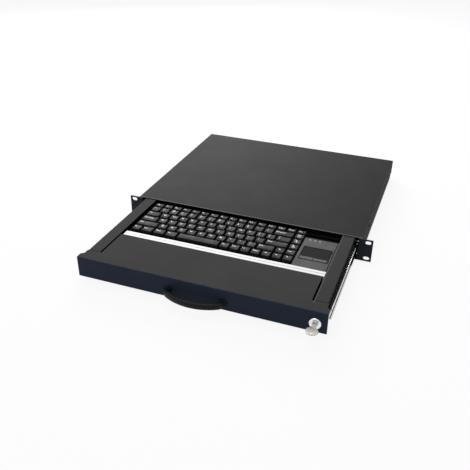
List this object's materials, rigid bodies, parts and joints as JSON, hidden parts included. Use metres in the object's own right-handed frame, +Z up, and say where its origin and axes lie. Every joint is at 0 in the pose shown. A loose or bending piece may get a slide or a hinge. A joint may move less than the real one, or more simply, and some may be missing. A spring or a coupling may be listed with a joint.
{
  "type": "rack keyboard drawer",
  "caption": "Flat steel rack drawer that slides a compact keyboard and touchpad out of a shallow chassis on ball-bearing slides, with a bow handle and a cam lock.",
  "frame": {"origin": "middle of the front plane of the rack ears, at half the unit height", "axes": "+X to the right seen from the front, +Y into the rack, +Z up"},
  "size_m": [0.4826, 0.6425, 0.0436],
  "materials": {
    "chassis_paint": "fine textured black powder coat",
    "drawer_paint": "satin black powder coat",
    "panel_paint": "fine textured blue-black powder coat",
    "zinc_steel": "bright zinc plating",
    "ball_steel": "polished ball steel",
    "black_screw": "black zinc plating",
    "trim_aluminium": "clear anodised with fine lengthwise brushing",
    "handle_plastic": "fine grained black plastic",
    "lock_chrome": "bright nickel chrome plating",
    "key_nickel": "nickel plated brass",
    "grommet_rubber": "matte black rubber",
    "housing_plastic": "fine grained black plastic",
    "cap_plastic": "satin charcoal key plastic with white legends",
    "pad_plastic": "satin dark grey plastic",
    "pad_surface": "smooth matte film",
    "lens_plastic": "frosted clear plastic",
    "membrane_film": "printed polyester film",
    "dome_rubber": "moulded silicone rubber",
    "circuit_board": "green solder mask",
    "switch_plastic": "black moulded plastic"
  },
  "bodies": {
    "chassis": {"chassis_base": "panel_paint", "chassis_cover": "chassis_paint", "cover_screws": "black_screw", "cable_grommet": "grommet_rubber", "slide_outer_left": "zinc_steel", "slide_outer_right": "zinc_steel", "slide_outer_screws": "black_screw"},
    "ball_cages": {"ball_cage_left": "zinc_steel", "ball_cage_right": "zinc_steel", "slide_balls": "ball_steel"},
    "drawer": {"drawer_tray": "drawer_paint", "front_panel": "panel_paint", "palm_rest": "drawer_paint", "panel_screws": "black_screw", "slide_inner_left": "zinc_steel", "slide_inner_right": "zinc_steel", "slide_inner_screws": "black_screw", "trim_strip": "trim_aluminium", "trim_screws": "black_screw", "handle": "handle_plastic", "handle_screws": "black_screw", "lock_barrel": "lock_chrome", "lock_nut": "zinc_steel", "keyboard_bracket_left": "zinc_steel", "keyboard_bracket_right": "zinc_steel", "keyboard_screws": "black_screw", "keyboard_base": "housing_plastic", "key_membrane": "membrane_film", "dome_mat": "dome_rubber", "key_deck": "housing_plastic", "controller_board": "circuit_board", "touchpad_housing": "pad_plastic", "touch_surface": "pad_surface", "touchpad_board": "circuit_board", "button_switches": "switch_plastic", "indicator_lenses": "lens_plastic"},
    "lock_rotor": {"lock_plug": "lock_chrome", "lock_cam": "zinc_steel", "cam_screw": "zinc_steel"},
    "lock_key": {"lock_key": "key_nickel"},
    "touchpad_button_left": {"touchpad_button_left": "pad_plastic"},
    "touchpad_button_right": {"touchpad_button_right": "pad_plastic"},
    "keys_function_row": {"keys_function_row": "cap_plastic"},
    "keys_number_row": {"keys_number_row": "cap_plastic"},
    "keys_upper_row": {"keys_upper_row": "cap_plastic"},
    "keys_home_row": {"keys_home_row": "cap_plastic"},
    "keys_lower_row": {"keys_lower_row": "cap_plastic"},
    "keys_bottom_row": {"keys_bottom_row": "cap_plastic"},
    "backspace_key": {"backspace_key": "cap_plastic"},
    "tab_key": {"tab_key": "cap_plastic"},
    "caps_lock_key": {"caps_lock_key": "cap_plastic"},
    "enter_key": {"enter_key": "cap_plastic"},
    "left_shift_key": {"left_shift_key": "cap_plastic"},
    "right_shift_key": {"right_shift_key": "cap_plastic"},
    "space_bar": {"space_bar": "cap_plastic"}
  },
  "joints": [
    {"name": "drawer_slide", "type": "slide", "parent": "chassis", "child": "drawer", "axis": [0, -1, 0], "range_m": [-0.2296, 0.0154]},
    {"name": "cage_roll", "type": "slide", "parent": "chassis", "child": "ball_cages", "axis": [0, -1, 0], "range_m": [-0.1148, 0.0077]},
    {"name": "lock_turn", "type": "hinge", "parent": "drawer", "child": "lock_rotor", "pos_m": [0.197, -0.2316, 0.002], "axis": [0, -1, 0], "range_deg": [0, 90]},
    {"name": "key_pull", "type": "slide", "parent": "lock_rotor", "child": "lock_key", "axis": [0, -1, 0], "range_m": [0, 0.03]},
    {"name": "touchpad_button_left_press", "type": "slide", "parent": "drawer", "child": "touchpad_button_left", "axis": [0, 0, -1], "range_m": [0, 0.001], "stiffness_N_per_m": 400, "springref_m": -0.0008},
    {"name": "touchpad_button_right_press", "type": "slide", "parent": "drawer", "child": "touchpad_button_right", "axis": [0, 0, -1], "range_m": [0, 0.001], "stiffness_N_per_m": 400, "springref_m": -0.0008},
    {"name": "keys_function_row_press", "type": "slide", "parent": "drawer", "child": "keys_function_row", "axis": [0, 0, -1], "range_m": [0, 0.0025], "stiffness_N_per_m": 300, "springref_m": -0.003},
    {"name": "keys_number_row_press", "type": "slide", "parent": "drawer", "child": "keys_number_row", "axis": [0, 0, -1], "range_m": [0, 0.0025], "stiffness_N_per_m": 300, "springref_m": -0.003},
    {"name": "keys_upper_row_press", "type": "slide", "parent": "drawer", "child": "keys_upper_row", "axis": [0, 0, -1], "range_m": [0, 0.0025], "stiffness_N_per_m": 300, "springref_m": -0.003},
    {"name": "keys_home_row_press", "type": "slide", "parent": "drawer", "child": "keys_home_row", "axis": [0, 0, -1], "range_m": [0, 0.0025], "stiffness_N_per_m": 300, "springref_m": -0.003},
    {"name": "keys_lower_row_press", "type": "slide", "parent": "drawer", "child": "keys_lower_row", "axis": [0, 0, -1], "range_m": [0, 0.0025], "stiffness_N_per_m": 300, "springref_m": -0.003},
    {"name": "keys_bottom_row_press", "type": "slide", "parent": "drawer", "child": "keys_bottom_row", "axis": [0, 0, -1], "range_m": [0, 0.0025], "stiffness_N_per_m": 300, "springref_m": -0.003},
    {"name": "backspace_key_press", "type": "slide", "parent": "drawer", "child": "backspace_key", "axis": [0, 0, -1], "range_m": [0, 0.0025], "stiffness_N_per_m": 150, "springref_m": -0.002},
    {"name": "tab_key_press", "type": "slide", "parent": "drawer", "child": "tab_key", "axis": [0, 0, -1], "range_m": [0, 0.0025], "stiffness_N_per_m": 150, "springref_m": -0.002},
    {"name": "caps_lock_key_press", "type": "slide", "parent": "drawer", "child": "caps_lock_key", "axis": [0, 0, -1], "range_m": [0, 0.0025], "stiffness_N_per_m": 150, "springref_m": -0.002},
    {"name": "enter_key_press", "type": "slide", "parent": "drawer", "child": "enter_key", "axis": [0, 0, -1], "range_m": [0, 0.0025], "stiffness_N_per_m": 150, "springref_m": -0.002},
    {"name": "left_shift_key_press", "type": "slide", "parent": "drawer", "child": "left_shift_key", "axis": [0, 0, -1], "range_m": [0, 0.0025], "stiffness_N_per_m": 150, "springref_m": -0.002},
    {"name": "right_shift_key_press", "type": "slide", "parent": "drawer", "child": "right_shift_key", "axis": [0, 0, -1], "range_m": [0, 0.0025], "stiffness_N_per_m": 150, "springref_m": -0.002},
    {"name": "space_bar_press", "type": "slide", "parent": "drawer", "child": "space_bar", "axis": [0, 0, -1], "range_m": [0, 0.0025], "stiffness_N_per_m": 150, "springref_m": -0.002}
  ],
  "couplings": [
    {"joint": "cage_roll", "follows": "drawer_slide", "ratio": 0.5}
  ]
}
